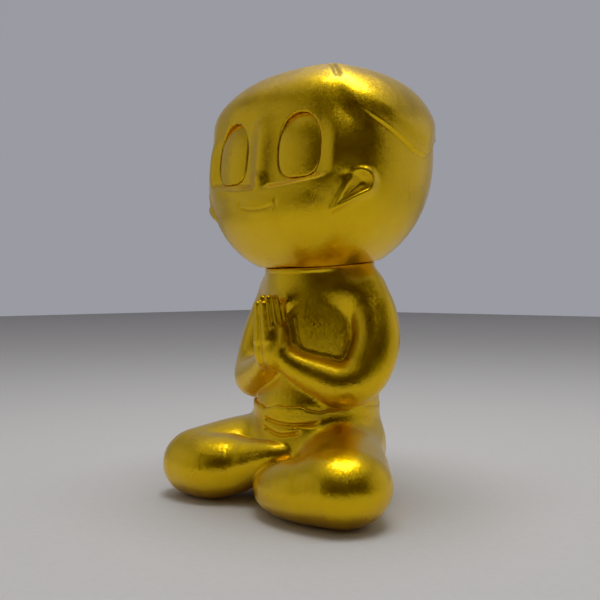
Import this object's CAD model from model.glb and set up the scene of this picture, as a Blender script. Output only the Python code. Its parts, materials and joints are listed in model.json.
# %% [markdown]
# # A seated child figure, sprayed gold
# A toy maker models this figure in clay, casts it in soft vinyl as three hollow mouldings, and
# sprays the whole of it with metallic gold paint. The head turns on a plug in the neck.
# The CAD model holds the joint, the sizes and the hidden pieces. This file gives the skins that
# one sees: first the shapes, then the paint, then the light and the camera.

# %% Load the frame
import json
import math

import bpy
import numpy as np
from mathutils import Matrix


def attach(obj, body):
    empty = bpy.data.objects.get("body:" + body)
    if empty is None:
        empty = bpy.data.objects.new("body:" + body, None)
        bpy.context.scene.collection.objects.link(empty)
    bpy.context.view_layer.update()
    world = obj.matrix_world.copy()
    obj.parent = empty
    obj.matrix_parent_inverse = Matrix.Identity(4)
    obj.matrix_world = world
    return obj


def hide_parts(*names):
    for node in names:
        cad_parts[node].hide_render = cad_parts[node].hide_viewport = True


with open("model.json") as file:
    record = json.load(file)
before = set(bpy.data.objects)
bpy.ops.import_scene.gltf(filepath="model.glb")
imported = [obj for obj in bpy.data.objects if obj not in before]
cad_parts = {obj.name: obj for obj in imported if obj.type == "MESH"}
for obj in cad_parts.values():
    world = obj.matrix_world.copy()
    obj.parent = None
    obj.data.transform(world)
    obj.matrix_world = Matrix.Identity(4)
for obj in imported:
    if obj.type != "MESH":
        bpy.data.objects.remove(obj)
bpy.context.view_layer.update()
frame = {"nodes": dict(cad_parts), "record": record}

import openvdb
from mathutils import Vector

MM = 0.001
joint = frame["record"]["behaviour"]["joints"][0]
NECK_Y = joint["pos_m"][1] / MM
NECK_Z = joint["pos_m"][2] / MM
NECK_LEAN = math.asin(-Vector(joint["axis"]).y)
print("neck joint at", NECK_Y, NECK_Z, "mm, leaning", round(math.degrees(NECK_LEAN), 1), "degrees")

# %% [markdown]
# ## Clay that is measured, not pushed
# A moulded toy has no edges: an arm melts into a chest. Boxes and spheres that are joined with
# a Boolean meet in a hard line, and smoothing them afterwards also wears away the fingers.
# So each skin is written as a distance: for every point of a fine grid, how far it is from
# the surface. Two shapes are then joined by a soft minimum, and its softness is chosen at each
# joint, as a sculptor chooses how much clay to press into a corner. OpenVDB, which is part of
# Blender, turns the zero level of that grid into a mesh.
# All places are in millimetres: x to the figure's left, f from the neck towards its face, z up.

# %% Numbers between numbers
def mix(a, b, t):
    return a + (b - a) * t


def rise(low, high, value):
    """0 below low, 1 above high, and a smooth step between them."""
    t = np.clip((value - low) / (high - low), 0, 1)
    return t * t * (3 - 2 * t)


def hump(value, middle, width):
    """1 at the middle, and a soft fall to 0 on both sides."""
    return np.exp(-((value - middle) / width) ** 2)


# %% Joining and cutting
def melt(a, b, soft):
    """Join two shapes, with a fillet about as wide as soft."""
    h = np.clip(0.5 + 0.5 * (b - a) / soft, 0, 1)
    return mix(b, a, h) - soft * h * (1 - h)


def carve(a, b, soft):
    """Cut shape b out of shape a, with an edge rounded by soft."""
    return -melt(-a, b, soft)


def both(a, b, soft=0.2):
    """Keep only what lies in both shapes."""
    return -melt(-a, -b, soft)


# %% Balls, rods and limbs
def ball(p, centre, radius):
    x, f, z = (v - c for v, c in zip(p, centre))
    return np.sqrt(x * x + f * f + z * z) - radius


def rod(p, start, end, r_start, r_end):
    """A tapered rod with round ends."""
    x, f, z = (v - c for v, c in zip(p, start))
    ax, af, az = (e - s for s, e in zip(start, end))
    t = np.clip((x * ax + f * af + z * az) / (ax * ax + af * af + az * az), 0, 1)
    x, f, z = x - t * ax, f - t * af, z - t * az
    return np.sqrt(x * x + f * f + z * z) - mix(r_start, r_end, t)


def on_curve(s, u):
    """The point, with its radius, and the direction at u along a smooth curve through stations."""
    span = np.clip(np.floor(u), 0, len(s) - 4).astype(int)
    t = (u - span)[..., None]
    a, b, c, d = (s[span + k] for k in range(4))
    bend, twist = 2 * a - 5 * b + 4 * c - d, 3 * b - a - 3 * c + d
    spot = b + 0.5 * t * ((c - a) + t * (bend + t * twist))
    way = 0.5 * ((c - a) + t * (2 * bend + 3 * t * twist))
    return spot, way


SKIN_BAND = 4
LONGEST_SLIDE = 0.5


def limb(p, stations, squash=1.0, steps=4):
    """A bent limb through (x, f, z, radius) stations. squash below 1 makes it lower than wide.
    Each point takes the nearest of a few spots on the limb's curve. Points within SKIN_BAND mm of
    the surface then slide along the curve to the truly nearest place."""
    s = np.array([stations[0], *stations, stations[-1]], dtype=np.float32)
    s[:, 2] /= squash
    q = np.stack(np.broadcast_arrays(p[0], p[1], p[2] / squash), axis=-1).astype(np.float32)
    last = len(stations) - 1
    nearest = None
    for u in np.arange(0, last + 0.01, 1 / steps):
        spot = on_curve(s, np.float32(u))[0]
        gap = np.sqrt(((q - spot[:3]) ** 2).sum(axis=-1)) - spot[3]
        if nearest is None:
            nearest, along = gap, np.full(gap.shape, u, np.float32)
        else:
            along = np.where(gap < nearest, np.float32(u), along)
            nearest = np.minimum(gap, nearest)
    close = np.abs(nearest) < SKIN_BAND
    q, along = q[close], along[close]
    for _ in range(2):
        spot, way = on_curve(s, along)
        pull = ((q - spot[..., :3]) * way[..., :3]).sum(axis=-1)
        slide = pull / np.maximum((way[..., :3] ** 2).sum(axis=-1), 0.5)
        along = np.clip(along + np.clip(slide, -LONGEST_SLIDE, LONGEST_SLIDE), 0, last)
    spot = on_curve(s, along)[0]
    nearest[close] = np.sqrt(((q - spot[..., :3]) ** 2).sum(axis=-1)) - spot[..., 3]
    return nearest * mix(squash, 1, 0.5)


def egg(p, centre, half, plan=(2.0, 2.0), tall=(2.0, 2.0)):
    """An egg with its own half size left-right, front, back, up and down.
    plan is its squareness seen from above, in front and behind; tall is that above and below."""
    side, front, back, up, down = half
    x, f, z = (v - c for v, c in zip(p, centre))
    n = np.where(f > 0, plan[0], plan[1])
    m = np.where(z > 0, tall[0], tall[1])
    wide = (np.abs(x) / side) ** n + (np.abs(f) / np.where(f > 0, front, back)) ** n
    level = wide ** (m / n) + (np.abs(z) / np.where(z > 0, up, down)) ** m
    level = np.maximum(level, 1e-6) ** (1 / m)
    return np.sqrt(x * x + f * f + z * z) * (1 - 1 / level)


# %% [markdown]
# The mesh maker. It fills the grid, lets OpenVDB wrap the zero level in quads, and then slides
# each vertex along the slope of the distance until it lies on the true surface, so that the
# grid's steps don't show in the gloss.

# %% From distance to mesh
def work_on(piece):
    """Deselect everything, then make one piece active and selected."""
    bpy.ops.object.select_all(action="DESELECT")
    piece.select_set(True)
    bpy.context.view_layer.objects.active = piece


def slope(shape, p, step=0.05):
    """The distance at each point, and the direction in which it grows."""
    d = shape(p)
    grad = []
    for axis in range(3):
        q = [v + step if i == axis else v for i, v in enumerate(p)]
        grad.append((shape(q) - d) / step)
    return d, np.stack(grad, axis=1)


def sculpt(name, shape, low, high, grid):
    """Mesh the zero level of shape(p) inside a box. grid is the cell size in mm."""
    ticks = [np.arange(lo, hi, grid, dtype=np.float32) for lo, hi in zip(low, high)]
    p = np.meshgrid(*ticks, indexing="ij")
    volume = openvdb.FloatGrid(3 * grid)
    volume.copyFromArray(np.clip(shape(p), -3 * grid, 3 * grid).astype(np.float64))
    points, quads = volume.convertToQuads(0.0)
    points = points.astype(np.float64) * grid + np.array([t[0] for t in ticks])
    for _ in range(3):
        d, grad = slope(shape, list(points.T))
        size = np.maximum((grad * grad).sum(axis=1), 0.05)
        points -= np.clip(d / size, -0.5 * grid, 0.5 * grid)[:, None] * grad
    world = np.stack([points[:, 0], NECK_Y - points[:, 1], points[:, 2]], axis=1) * MM
    mesh = bpy.data.meshes.new(name)
    mesh.from_pydata(world, [], quads)
    piece = bpy.data.objects.new(name, mesh)
    bpy.context.scene.collection.objects.link(piece)
    work_on(piece)
    bpy.ops.object.mode_set(mode="EDIT")
    bpy.ops.mesh.select_all(action="SELECT")
    bpy.ops.mesh.normals_make_consistent(inside=False)
    bpy.ops.object.mode_set(mode="OBJECT")
    bpy.ops.object.shade_smooth()
    print(name, len(mesh.vertices), "vertices,", 2 * len(mesh.polygons), "triangles")
    return piece


def stand_for(piece, node, body):
    """The piece takes a CAD node's place, its body and its finish."""
    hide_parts(node)
    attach(piece, body)


GRID = 0.4


def over_neck(p):
    """Height over the plane that parts the head from the torso, square to the neck axis."""
    x, f, z = p
    return (z - NECK_Z) * math.cos(NECK_LEAN) + f * math.sin(NECK_LEAN)


# %% [markdown]
# ## The head
# The skull is one egg: nearly as wide as it is tall, squarer in front than behind, so that the
# face is flat and the temples are full. It leans back a little. A low swelling fills the cheeks.

# %% Skull and cheeks
SKULL_Z = 91.0
SKULL_LEAN = 0.10


def skull(p):
    x, f, z = p
    upright = (x, f + SKULL_LEAN * (z - SKULL_Z), z)
    dome = egg(upright, (0, 0, SKULL_Z), (31.3, 24.2, 28.4, 25.2, 31.0), (2.8, 2.25), (2.42, 2.2))
    cheeks = egg(p, (0, 9.0, 77.5), (21.0, 15.4, 12.0, 9.0, 9.5), (2.4, 2.0), (2.0, 2.0))
    return melt(dome, cheeks, 4.0)


# %% [markdown]
# The eyes sit in two shallow hollows. Their floor drops behind the top of the cheeks, melts
# into the brow above, and leaves a low ridge between them, over the nose. All of this is low
# relief, so it is written as a depth that is taken off the skull, like a stamp in clay.

# %% Face relief
def face_depth(p):
    x, f, z = p
    side = np.abs(x)
    shelf = 82.5 + 1.9 * (side / 21) ** 2
    hollow = rise(-0.5, 1.9, z - shelf) * (1 - rise(93.0, 104.5, z)) * (1 - rise(16.8, 23.0, side))
    bridge = 1 - 0.75 * hump(x, 0, 3.4)
    temple = hump(side, 23.0, 2.2) * rise(84, 88, z) * (1 - rise(93, 101, z))
    fold = hump(z, 84.6, 0.9) * rise(23, 25, side) * (1 - rise(26, 28, side))
    smile = 77.2 + 1.0 * (side / 6.2) ** 2
    groove = hump(z, smile, 0.42) * (1 - rise(5.0, 6.4, side))
    bow = 6.6 + 0.35 * (z - 78.6) ** 2 / 2
    dimple = hump(side, bow, 0.55) * (1 - rise(0.4, 1.9, np.abs(z - 78.6)))
    pout = hump(z, 76.5, 0.8) * (1 - rise(1.5, 5.0, side))
    chin = hump(z, 79.6, 0.7) * (1 - rise(2.0, 6.0, side))
    depth = 1.8 * hollow * bridge - 0.2 * temple + 0.25 * fold
    depth = depth + 0.45 * groove + 0.25 * dimple - 0.22 * pout - 0.15 * chin
    return depth * rise(2, 8, f)


# %% [markdown]
# An ear is a pointed leaf of a rim round a hollow. It lies nearly flat on the head and stands
# only a millimetre proud. Seen square on, it is a tapered rod: the rim follows its outline.

# %% Ears
EAR_MIDDLE = (25.9, 17.2, 81.6)
EAR_OUT = math.radians(46)


def ear_height(p):
    side, f, z = np.abs(p[0]), p[1], p[2]
    x, f, z = (v - c for v, c in zip((side, f, z), EAR_MIDDLE))
    back = x * math.cos(EAR_OUT) - f * math.sin(EAR_OUT)
    out = x * math.sin(EAR_OUT) + f * math.cos(EAR_OUT)
    along = 0.635 * back + 0.772 * z
    across = 0.772 * back - 0.635 * z
    flat = (along, across, 0 * z)
    leaf = rod(flat, (2.3, 0.6, 0), (-7.2, -0.6, 0), 3.9, 0.8)
    behind = rise(-2.5, 2.5, across)
    rim = mix(0.35, 1.35, behind) * hump(leaf, -0.9, mix(0.7, 1.05, behind))
    bowl = 0.9 * rise(1.2, 4.0, -leaf)
    return (rim - bowl) * rise(-5, -3, out)


# %% [markdown]
# The hair is a layer on the skull. In front it rolls over the forehead and melts into it. At
# the side a swept lock ends in a crisp lower edge with a round tip, and the lock is thinner
# near that edge. So its thickness depends on the height over a hairline that changes with the
# angle round the head. A narrow groove parts it on the left.

# %% Hair
PARTING_TURN = 48.5
HAIRLINE = (
    (-180, 93.0), (-140, 91.0), (-112, 95.5), (-97, 91.0), (-86, 92.0), (-73, 95.6), (-60, 100.0),
    (-40, 104.0), (0, 105.5), (30, 106.0), (48, 105.5), (56, 101.5), (63, 98.8), (73, 95.8),
    (86, 92.1), (97, 91.0), (103, 92.5), (109, 96.0), (125, 97.5), (145, 93.0), (180, 93.0),
)


def hairline(turn):
    """Height of the hair's lower edge at an angle from the face, smooth through the points."""
    degrees, heights = np.array(HAIRLINE).T
    fine = np.linspace(-180, 180, 721)
    rough = np.interp(fine, degrees, heights)
    window = np.hanning(13)
    padded = np.concatenate([rough[-13:-1], rough, rough[1:13]])
    smooth = np.convolve(padded, window / window.sum(), mode="same")[12:-12]
    return np.interp(turn, fine, smooth)


def hair_height(p):
    x, f, z = p
    turn = np.degrees(np.arctan2(x, f + 2))
    over = z - hairline(turn)
    front = 1 - rise(52, 70, np.abs(turn))
    lock = rise(-0.3, 0.5, over) * (0.9 + 0.8 * rise(1.0, 6.0, over))
    roll = rise(-5.0, 5.0, over) * 2.2
    parting = hump(turn, PARTING_TURN, 2.0) * rise(109, 112, z) * (1 - rise(115.0, 117.0, z))
    return mix(lock, roll, front) - 0.7 * parting


# %% [markdown]
# ## The eyes
# Each eye is a separate lens, glued in a shallow pocket of its own outline. Both edges are
# rounded, so a fine groove runs round it. It is taller than it is wide, arched at the top and
# squarer at the bottom. Its face follows the skull, a little deeper, with a slight dome.

# %% Eyes
EYE_X, EYE_Z = 12.0, 92.3
EYE_OUT = math.radians(10)
EYE_DEEP = 1.15
POCKET_DEPTH = 1.0
GLUE = 0.05
EYE_GRID = 0.3


def eye_outline(p, eye_side):
    x, f, z = p
    across = (x * eye_side - EYE_X) * math.cos(EYE_OUT) - (f - 22.0) * math.sin(EYE_OUT)
    half = (6.3, 1.0, 1.0, 9.0, 7.6)
    return egg((across, 0 * f, z - EYE_Z), (0, 0, 0), half, (2.4, 2.4), (2.2, 3.2))


def eye_lens(p, eye_side):
    side = p[0] * eye_side - EYE_X
    dome = 0.5 * (side / 6.3) ** 2 + 0.4 * ((p[2] - EYE_Z) / 8.5) ** 2
    lens = both(skull(p) + EYE_DEEP + dome, eye_outline(p, eye_side), 0.4)
    return both(lens, -(skull(p) + EYE_DEEP + POCKET_DEPTH - GLUE), 0.2)


def eye_pocket(p, eye_side):
    """The lens's outline, open at the front, with its floor just behind the lens."""
    return np.maximum(eye_outline(p, eye_side), -(skull(p) + EYE_DEEP + POCKET_DEPTH))


# %% Head, put together
def head_shape(p):
    relief = skull(p) + face_depth(p) - ear_height(p) - hair_height(p)
    nose = ball(p, (0, 22.6, 84.9), 2.1)
    skin = melt(relief, nose, 1.4)
    for eye_side in (1, -1):
        skin = carve(skin, eye_pocket(p, eye_side), 0.35)
    return both(skin, 0.12 - over_neck(p), 0.4)


head = sculpt("head_skin", head_shape, (-38, -36, 58), (38, 32, 124), GRID)
stand_for(head, "head_shell", "head")
eyes = []
for eye_side, word in ((1, "left"), (-1, "right")):
    middle = eye_side * EYE_X
    eye = sculpt(
        "eye_" + word + "_lens",
        lambda p: eye_lens(p, eye_side),
        (middle - 8, 15, 82),
        (middle + 8, 27, 104),
        EYE_GRID,
    )
    stand_for(eye, "eye_" + word, "head")
    eyes.append(eye)

# %% [markdown]
# ## The torso
# The trunk is a slim egg with a second one for the belly. Each arm is one limb from the shoulder
# over the elbow to the wrist,
# and it melts into the shoulder but meets the chest in a crisp line, where the mould left a
# fine raised thread. The far arm is the mirror image of the near one.

# %% Trunk and arms
ARM = (
    (14.6, -0.6, 55.6, 6.8), (18.0, -0.4, 50.0, 6.7), (20.4, 1.2, 42.8, 6.5), (19.6, 4.6, 35.4, 6.4),
    (16.2, 8.6, 32.2, 6.2), (10.6, 12.0, 34.0, 5.3), (5.8, 15.0, 36.4, 4.3), (3.0, 17.0, 38.6, 3.6),
)


def trunk(p):
    chest = egg(p, (0, 0.2, 42), (16.9, 15.0, 16.8, 50, 60))
    belly = egg(p, (0, 1.2, 26), (16.8, 16.5, 16.6, 10, 14))
    return melt(chest, belly, 2.5)


# %% [markdown]
# The hands are pressed together. Each has a flat palm, four fingers that fan out and end in
# their own round tips, and a thumb that lies against the chest.

# %% Hands
PALM = ((1.5, 18.4, 42.0), (2.8, 4.9, 4.7, 6.6, 6.4))
FINGERS = (
    ((1.4, 22.2, 43.6), (1.05, 23.0, 52.8)),
    ((1.6, 20.0, 44.0), (1.15, 21.3, 54.3)),
    ((1.6, 17.7, 44.0), (1.15, 19.4, 54.2)),
    ((1.5, 15.4, 43.4), (1.1, 17.4, 52.4)),
)


def hand(q):
    palm = egg(q, *PALM, (2.4, 2.4), (2.4, 2.4))
    fingers = None
    for root, tip in FINGERS:
        finger = rod(q, root, tip, 1.55, 1.15)
        fingers = finger if fingers is None else melt(fingers, finger, 0.15)
    whole = melt(palm, fingers, 0.5)
    thumb = rod(q, (3.6, 14.6, 41.0), (2.8, 14.6, 48.6), 1.7, 1.1)
    return melt(whole, thumb, 0.3)


def torso_shape(p):
    x, f, z = p
    q = (np.abs(x), f, z)
    chest = trunk(p)
    arm = limb(q, ARM)
    sleeve = melt(arm, hand(q), 1.6)
    soft = mix(0.4, 7.0, rise(47, 57, z))
    body = melt(chest, sleeve, soft)
    thread = np.sqrt(chest ** 2 + (sleeve - 0.45) ** 2) - 0.24 * (1 - rise(49, 52, z))
    body = melt(body, thread, 0.25)
    palm_line = 0.1 - np.abs(x)
    body = both(body, palm_line - 10 * (1 - rise(15.2, 16.0, f)), 0.2)
    lip = np.sqrt(chest ** 2 + (over_neck(p) + 0.55) ** 2) - 0.55
    body = melt(body, lip, 0.3)
    body = both(body, over_neck(p), 0.25)
    return both(body, 20.8 - z, 0.3)


torso = sculpt("torso_skin", torso_shape, (-31, -22, 18), (31, 28, 68), GRID)
stand_for(torso, "torso_shell", "seated_body")

# %% [markdown]
# ## The lower body
# Seat, thighs and shins are one moulding. The legs are crossed: the right shin lies on top of
# the left one, thins to an ankle, and its small foot rests in the left knee's hollow. A collar
# holds the waist. Its edge was trimmed by hand and painted over, so it wanders up and down.

# %% Legs
LEFT_THIGH = ((8.0, 0.8, 13.2, 10.8), (17.5, 11.0, 11.8, 11.4), (24.8, 20.0, 9.6, 12.2))
RIGHT_THIGH = ((-8.0, 1.0, 13.5, 11.4), (-17.0, 11.0, 12.0, 11.4), (-23.0, 18.4, 9.6, 11.6))
LEFT_SHIN = (
    (25.0, 20.8, 8.8, 11.6), (17.0, 23.0, 7.8, 10.2), (9.0, 22.6, 6.8, 8.6), (1.5, 19.2, 5.9, 6.1),
    (-5.5, 16.6, 5.2, 3.2),
)
RIGHT_SHIN = (
    (-24.8, 22.6, 8.8, 9.9), (-18.0, 23.2, 8.8, 9.4), (-11.4, 21.0, 9.8, 8.2), (-5.4, 20.0, 11.5, 6.0),
    (0.6, 18.6, 13.4, 4.2), (5.0, 15.6, 14.5, 3.1), (10.6, 14.2, 13.8, 2.6), (16.6, 13.6, 13.6, 2.2),
)
COLLAR_F = 1.2


def legs_shape(p):
    x, f, z = p
    seat = egg(p, (0, 0.4, 14.6), (18.0, 17.6, 17.4, 11.0, 15.2), (2.2, 2.2), (2.2, 2.4))
    radius = np.sqrt(x * x + (f - COLLAR_F) ** 2)
    turn = np.degrees(np.arctan2(x, f - COLLAR_F))
    ragged = 0.6 * np.sin(turn / 10.0) + 0.25 * np.sin(turn / 4.1 + 1.3) + 0.1 * np.sin(turn / 1.9)
    edge = 26.0 + 0.9 * ragged
    collar = both(radius - 17.5, z - edge, 0.7)
    body = melt(seat, collar, 3.0)
    body = melt(body, limb(p, LEFT_THIGH, squash=0.8), 4.0)
    body = melt(body, limb(p, RIGHT_THIGH, squash=0.8), 4.0)
    body = melt(body, limb(p, LEFT_SHIN, squash=0.8), 1.2)
    upper = 21.5 + 0.9 * ((turn - 18) / 28) ** 2
    lower = 18.7 + 1.4 * ((turn - 8) / 20) ** 2
    creases = hump(z, upper, 0.5) * rise(-13, -8, turn) * (1 - rise(36, 46, turn))
    creases = creases + hump(z, lower, 0.5) * rise(-14, -8, turn) * (1 - rise(21, 30, turn))
    body = body + 1.0 * creases * rise(10, 13, radius)
    body = melt(body, limb(p, RIGHT_SHIN, squash=0.94), 0.6)
    return both(body, 0.6 - z, 0.4)


legs = sculpt("legs_skin", legs_shape, (-39, -22, -1), (39, 36, 30), GRID)
stand_for(legs, "legs_shell", "seated_body")

# %% [markdown]
# ## The paint
# The finish is a metallic spray on vinyl: aluminium flakes in a yellow lacquer. The eye sees a
# gold whose highlights are bright yellow and whose shade is brown, a fine sparkle where single
# flakes lie askew, and a thin gloss of binder on top that turns pale at the rims. Real flakes
# are 0.03 mm wide. They are drawn 0.28 mm wide here, so that the sparkle shows at all.

# %% Colour and node helpers
def tint(hex_code):
    """An sRGB hex colour as linear light, with full opacity."""
    parts = [int(hex_code[i:i + 2], 16) / 255 for i in (1, 3, 5)]
    linear = [c / 12.92 if c < 0.04045 else ((c + 0.055) / 1.055) ** 2.4 for c in parts]
    return (*linear, 1.0)


def add(material, kind, settings={}, links={}):
    """Add a node. Settings name an input or a property; links name an input and its source."""
    node = material.node_tree.nodes.new("ShaderNode" + kind)
    for name, value in settings.items():
        if isinstance(name, int) or name in node.inputs:
            node.inputs[name].default_value = value
        else:
            setattr(node, name, value)
    for name, socket in links.items():
        material.node_tree.links.new(socket, node.inputs[name])
    return node


def new_material(name):
    """A material with its Principled shader alone."""
    material = bpy.data.materials.new(name)
    material.use_nodes = True
    return material, material.node_tree.nodes["Principled BSDF"]


def per_metre(size_mm):
    """The texture scale that makes one cell this many millimetres wide."""
    return 1 / (size_mm * MM)


# %% Gold spray
GOLD_LIGHT, GOLD_DARK = "#F4CE00", "#E6B800"
FLAKE_SIZE = 0.28
FLAKE_TILT = 0.13
MOTTLE_SIZE = 5.0
ORANGE_PEEL = 1.1


def gold_spray(name, rough_from, rough_to):
    """Metallic spray. Between two heights in mm the casting under it changes from smooth to rough."""
    gold, shader = new_material(name)
    link = gold.node_tree.links.new
    place = add(gold, "TexCoord").outputs["Object"]
    flakes = add(gold, "TexVoronoi", {"Scale": per_metre(FLAKE_SIZE)}, {"Vector": place})
    askew = add(
        gold, "VectorMath", {"operation": "SUBTRACT", 1: (0.5, 0.5, 0.5)}, {0: flakes.outputs["Color"]}
    )
    mottle = add(gold, "TexNoise", {"Scale": per_metre(MOTTLE_SIZE), "Detail": 3.0}, {"Vector": place})
    peel = add(gold, "TexNoise", {"Scale": per_metre(ORANGE_PEEL), "Detail": 1.0}, {"Vector": place})
    skin = add(gold, "Bump", {"Strength": 0.15, "Distance": 0.03 * MM}, {"Height": peel.outputs[0]})
    height = add(gold, "SeparateXYZ", {}, {0: place}).outputs["Z"]
    span = {"From Min": rough_from * MM, "From Max": rough_to * MM}
    rough = add(gold, "MapRange", span, {"Value": height}).outputs[0]
    grit = add(gold, "TexNoise", {"Scale": per_metre(0.9), "Detail": 3.0}, {"Vector": place})
    casting = add(
        gold,
        "Bump",
        {"Distance": 0.12 * MM},
        {"Strength": rough, "Height": grit.outputs[0], "Normal": skin.outputs[0]},
    )
    tilt = add(gold, "VectorMath", {"operation": "SCALE", "Scale": FLAKE_TILT}, {0: askew.outputs[0]})
    flaked = add(
        gold, "VectorMath", {"operation": "ADD"}, {0: casting.outputs[0], 1: tilt.outputs[0]}
    )
    flat = add(gold, "VectorMath", {"operation": "NORMALIZE"}, {0: flaked.outputs[0]})
    colour = add(
        gold,
        "Mix",
        {"data_type": "RGBA", 6: tint(GOLD_DARK), 7: tint(GOLD_LIGHT)},
        {0: mottle.outputs[0]},
    )
    gloss = add(
        gold,
        "MapRange",
        {"From Min": 0.3, "From Max": 0.7, "To Min": 0.27, "To Max": 0.36},
        {"Value": mottle.outputs[0]},
    )
    link(flat.outputs[0], shader.inputs["Normal"])
    link(colour.outputs[2], shader.inputs["Base Color"])
    link(gloss.outputs[0], shader.inputs["Roughness"])
    shader.inputs["Metallic"].default_value = 1.0
    shader.inputs["Coat Weight"].default_value = 0.25
    shader.inputs["Coat Roughness"].default_value = 0.12
    return gold


def paint(piece, material):
    piece.data.materials.clear()
    piece.data.materials.append(material)


# The head's casting is smooth all over, so its rough stretch starts above the figure.
OVER_THE_FIGURE = (200, 201)
head_gold = gold_spray("gold_spray_on_smooth_vinyl", *OVER_THE_FIGURE)
torso_gold = gold_spray("gold_spray_on_rough_belly", 36, 31)
legs_gold = gold_spray("gold_spray_on_rough_collar", 18, 23)
for piece in (head, *eyes):
    paint(piece, head_gold)
paint(torso, torso_gold)
paint(legs, legs_gold)

# %% [markdown]
# The parts inside stay unpainted: the neck spool and the waist ring are moulded in off-white
# vinyl, which is slightly translucent and satin, with faint flow marks. The pads are black foam
# rubber, matt and finely pitted.

# %% Bare vinyl and foam rubber
def bare_vinyl():
    vinyl, shader = new_material("moulded_off_white_vinyl")
    link = vinyl.node_tree.links.new
    place = add(vinyl, "TexCoord").outputs["Object"]
    flow = add(vinyl, "TexNoise", {"Scale": per_metre(6.0), "Detail": 2.0}, {"Vector": place})
    colours = {"data_type": "RGBA", 6: tint("#D9D3C2"), 7: tint("#E6E1D3")}
    colour = add(vinyl, "Mix", colours, {0: flow.outputs[0]})
    grain = add(vinyl, "TexNoise", {"Scale": per_metre(0.5)}, {"Vector": place})
    bump = add(vinyl, "Bump", {"Strength": 0.2, "Distance": 0.03 * MM}, {"Height": grain.outputs[0]})
    link(colour.outputs[2], shader.inputs["Base Color"])
    link(bump.outputs[0], shader.inputs["Normal"])
    shader.inputs["Roughness"].default_value = 0.45
    return vinyl


def foam_rubber():
    foam, shader = new_material("black_foam_rubber")
    link = foam.node_tree.links.new
    place = add(foam, "TexCoord").outputs["Object"]
    cells = add(foam, "TexVoronoi", {"Scale": per_metre(0.3)}, {"Vector": place})
    bump = add(foam, "Bump", {"Strength": 0.6, "Distance": 0.1 * MM}, {"Height": cells.outputs[0]})
    colours = {"data_type": "RGBA", 6: tint("#161616"), 7: tint("#262524")}
    colour = add(foam, "Mix", colours, {0: cells.outputs[0]})
    link(colour.outputs[2], shader.inputs["Base Color"])
    link(bump.outputs[0], shader.inputs["Normal"])
    shader.inputs["Roughness"].default_value = 0.9
    return foam


vinyl = bare_vinyl()
foam = foam_rubber()
for name, material in (("neck_spool", vinyl), ("waist_ring", vinyl), ("foot_pads", foam)):
    paint(frame["nodes"][name], material)
print("materials:", ", ".join(m.name for m in bpy.data.materials))

# %% [markdown]
# ## Camera, floor and light
# The camera looks level from the figure's front left, close by, so that near parts grow large.
# The floor is a pale sheet of card. A softbox hangs straight above, and its reflection makes
# the bright patches on the hair, the arms and the knees. A wide weak ceiling fills in from
# above, and two weak panels at the sides lift the flanks. The room is pale grey behind the
# figure and dark behind the camera, which gives metal its depth.

# %% Camera
CAMERA_TURN = math.radians(41)
CAMERA_DISTANCE = 0.224
EYE_LEVEL = 0.0566
toward_camera = Vector((math.sin(CAMERA_TURN), -math.cos(CAMERA_TURN), 0))
beside_camera = Vector((math.cos(CAMERA_TURN), math.sin(CAMERA_TURN), 0))
up = Vector((0, 0, 1))
aim = Vector((0, NECK_Y * MM, EYE_LEVEL))
camera_data = bpy.data.cameras.new("camera")
camera = bpy.data.objects.new("camera", camera_data)
bpy.context.scene.collection.objects.link(camera)
camera.location = aim + toward_camera * CAMERA_DISTANCE
camera.rotation_euler = (math.radians(90), 0, CAMERA_TURN)
camera_data.sensor_width = 36
camera_data.lens = 48
camera_data.shift_x = -0.0325
camera_data.shift_y = -0.0167
camera_data.clip_start = 0.01
bpy.context.scene.camera = camera
bpy.context.scene.view_settings.view_transform = "Standard"

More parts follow.
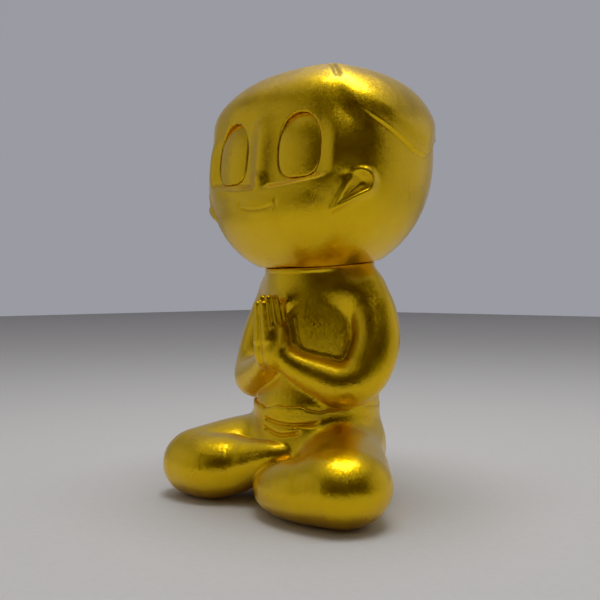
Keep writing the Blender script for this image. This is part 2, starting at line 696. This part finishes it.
# %% Floor
bpy.ops.object.select_all(action="DESELECT")
bpy.ops.mesh.primitive_plane_add(size=3, location=(0, 0, 0))
floor = bpy.context.object
floor.name = "floor"
card, shader = new_material("pale_card")
place = add(card, "TexCoord").outputs["Object"]
fibre = add(card, "TexNoise", {"Scale": per_metre(2.0), "Detail": 4.0}, {"Vector": place})
colours = {"data_type": "RGBA", 6: tint("#D6D5D2"), 7: tint("#DEDDDB")}
colour = add(card, "Mix", colours, {0: fibre.outputs[0]})
card.node_tree.links.new(colour.outputs[2], shader.inputs["Base Color"])
shader.inputs["Roughness"].default_value = 0.8
paint(floor, card)


# %% Light
def panel(name, place, width, height, glow):
    """A soft rectangular lamp that faces the figure. glow is its brightness per area."""
    data = bpy.data.lights.new(name, "AREA")
    data.shape = "RECTANGLE"
    data.size = width
    data.size_y = height
    data.energy = glow * math.pi * width * height
    lamp = bpy.data.objects.new(name, data)
    bpy.context.scene.collection.objects.link(lamp)
    lamp.location = aim + place
    lamp.rotation_euler = (-place).to_track_quat("-Z", "Y").to_euler()
    return lamp


SOFTBOX_AWAY, CEILING_AWAY, SIDE_AWAY = 0.42, 1.3, 0.6
SIDE_LIFT = 0.12
overhead = 0.04 * toward_camera + 0.06 * beside_camera + up
panel("softbox", SOFTBOX_AWAY * overhead, 0.26, 0.26, 4.5)
panel("ceiling", CEILING_AWAY * up, 2.4, 2.4, 0.25)
left_way = 0.21 * toward_camera - 0.98 * beside_camera
right_way = -0.1 * toward_camera + 1.0 * beside_camera
panel("left panel", SIDE_AWAY * left_way + SIDE_LIFT * up, 0.7, 0.5, 0.22)
panel("right panel", SIDE_AWAY * right_way + SIDE_LIFT * up, 0.7, 0.5, 0.22)

# %% [markdown]
# The room is a plain gradient, from warm and dark behind the camera to pale grey behind the
# figure. It shows in the rims, where the gloss coat mirrors it.

# %% Room
room = bpy.data.worlds.new("room")
bpy.context.scene.world = room
room.use_nodes = True
way = add(room, "TexCoord").outputs["Generated"]
facing = add(room, "VectorMath", {"operation": "DOT_PRODUCT", 1: toward_camera}, {0: way})
depth = add(room, "MapRange", {"From Min": 0.6, "From Max": -0.9}, {"Value": facing.outputs["Value"]})
tones = {"data_type": "RGBA", 6: tint("#2E1F12"), 7: tint("#9A9BA3")}
walls = add(room, "Mix", tones, {0: depth.outputs[0]})
room.node_tree.links.new(walls.outputs[2], room.node_tree.nodes["Background"].inputs[0])
